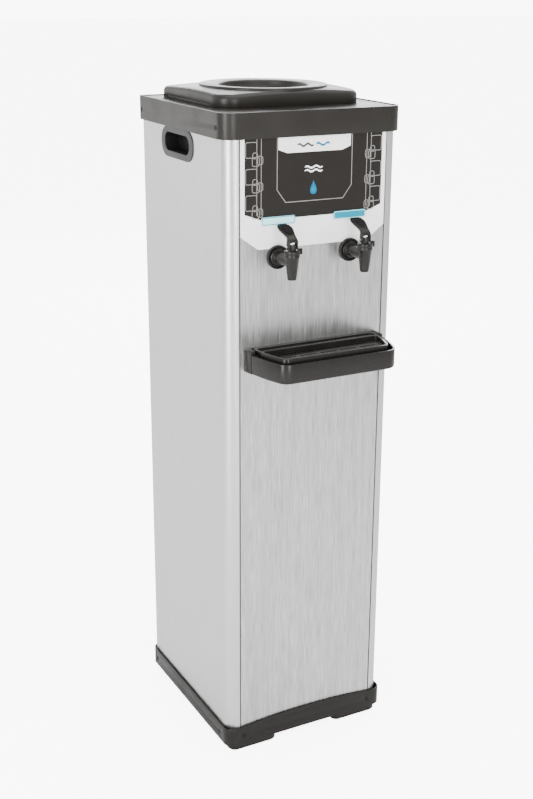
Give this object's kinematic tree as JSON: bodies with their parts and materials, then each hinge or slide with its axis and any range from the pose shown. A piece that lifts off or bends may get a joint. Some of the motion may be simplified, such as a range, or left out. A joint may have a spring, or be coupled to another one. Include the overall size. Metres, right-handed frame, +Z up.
{
  "type": "water dispenser",
  "caption": "Free-standing column water dispenser for an inverted bottle, with two lever taps, a pull-out drip tray, side grips and a rear cooling unit.",
  "frame": {"origin": "bottom centre of the overall bounding box, on the floor", "axes": "+Z up, front and taps towards -Y, +X to the right seen from the front"},
  "size_m": [0.279, 0.376, 0.983],
  "materials": {
    "stainless": "vertical brushed",
    "stainless_side": "fine satin",
    "dark_plastic": "fine satin, warm dark grey",
    "black_plastic": "semi-gloss black",
    "fascia_light": "light grey film",
    "fascia_dark": "printed dark film",
    "label_pale": "domed label",
    "label_cyan": "domed label",
    "handle_grey": "satin grey",
    "white_plastic": "natural moulding",
    "foam": "expanded foam",
    "pot_steel": "drawn",
    "galvanised": "zinc coated",
    "rear_metal": "satin black",
    "copper": "bare copper tone",
    "rubber": "matt",
    "silicone": "translucent milky",
    "screw_black": "blackened",
    "screw_zinc": "zinc plated"
  },
  "bodies": {
    "cabinet": {"base": "dark_plastic", "foot_pads": "rubber", "left_side_panel": "stainless_side", "right_side_panel": "stainless_side", "front_panel": "stainless", "rear_panel": "rear_metal", "top_cover": "dark_plastic", "left_handle_cup": "handle_grey", "right_handle_cup": "handle_grey", "fascia_film": "fascia_light", "fascia_panel": "fascia_dark", "natural_label": "label_pale", "cold_label": "label_cyan", "tap_body_natural": "black_plastic", "tap_body_cold": "black_plastic", "tap_bonnet_natural": "black_plastic", "tap_bonnet_cold": "black_plastic", "lever_pin_natural": "screw_zinc", "lever_pin_cold": "screw_zinc", "tap_nut_natural": "white_plastic", "tap_nut_cold": "white_plastic", "tray_holder": "black_plastic", "cold_reservoir": "pot_steel", "reservoir_baffle": "white_plastic", "insulation_front": "foam", "insulation_rear": "foam", "evaporator_coil": "copper", "reservoir_shelf": "galvanised", "natural_hose": "silicone", "cold_hose": "silicone", "drain_hose": "silicone", "drain_fitting": "white_plastic", "compressor": "rear_metal", "relay_box": "black_plastic", "compressor_grommets": "rubber", "condenser": "rear_metal", "filter_drier": "copper", "thermostat": "white_plastic", "cable_gland": "black_plastic", "cover_screws": "screw_black", "base_screws": "screw_black", "rear_screws": "screw_zinc"},
    "bottle_seat": {"bottle_seat": "dark_plastic", "neck_guide": "dark_plastic", "neck_seal": "silicone"},
    "drip_tray": {"drip_tray": "black_plastic"},
    "drip_grille": {"drip_grille": "black_plastic"},
    "thermostat_knob": {"thermostat_knob": "black_plastic"},
    "drain_cap": {"drain_cap": "black_plastic"},
    "lever_natural": {"tap_lever_natural": "black_plastic"},
    "plunger_natural": {"tap_plunger_natural": "silicone", "tap_spring_natural": "screw_zinc"},
    "lever_cold": {"tap_lever_cold": "black_plastic"},
    "plunger_cold": {"tap_plunger_cold": "silicone", "tap_spring_cold": "screw_zinc"}
  },
  "joints": [
    {"name": "bottle_seat_lift", "type": "slide", "parent": "cabinet", "child": "bottle_seat", "axis": [0, 0, 1], "range_m": [0, 0.1]},
    {"name": "drip_tray_pull", "type": "slide", "parent": "cabinet", "child": "drip_tray", "axis": [0, -1, 0], "range_m": [0, 0.06]},
    {"name": "drip_grille_lift", "type": "slide", "parent": "drip_tray", "child": "drip_grille", "axis": [0, 0, 1], "range_m": [0, 0.05]},
    {"name": "lever_natural_press", "type": "hinge", "parent": "cabinet", "child": "lever_natural", "pos_m": [-0.057, -0.147, 0.787], "axis": [-1, 0, 0], "range_deg": [0, 20], "stiffness_Nm_per_rad": 0.12, "springref_deg": -20.05},
    {"name": "plunger_natural_rise", "type": "slide", "parent": "cabinet", "child": "plunger_natural", "axis": [0, 0, 1], "range_m": [0, 0.003], "deforming": ["tap_spring_natural"]},
    {"name": "lever_cold_press", "type": "hinge", "parent": "cabinet", "child": "lever_cold", "pos_m": [0.057, -0.147, 0.787], "axis": [-1, 0, 0], "range_deg": [0, 20], "stiffness_Nm_per_rad": 0.12, "springref_deg": -20.05},
    {"name": "plunger_cold_rise", "type": "slide", "parent": "cabinet", "child": "plunger_cold", "axis": [0, 0, 1], "range_m": [0, 0.003], "deforming": ["tap_spring_cold"]},
    {"name": "thermostat_turn", "type": "hinge", "parent": "cabinet", "child": "thermostat_knob", "pos_m": [0.085, 0.177, 0.694], "axis": [0, 1, 0], "range_deg": [0, 270]},
    {"name": "drain_cap_pull", "type": "slide", "parent": "cabinet", "child": "drain_cap", "axis": [0, 1, 0], "range_m": [0, 0.03]}
  ],
  "couplings": [
    {"joint": "plunger_natural_rise", "follows": "lever_natural_press", "m_per_rad": 0.00716},
    {"joint": "plunger_cold_rise", "follows": "lever_cold_press", "m_per_rad": 0.00716}
  ]
}
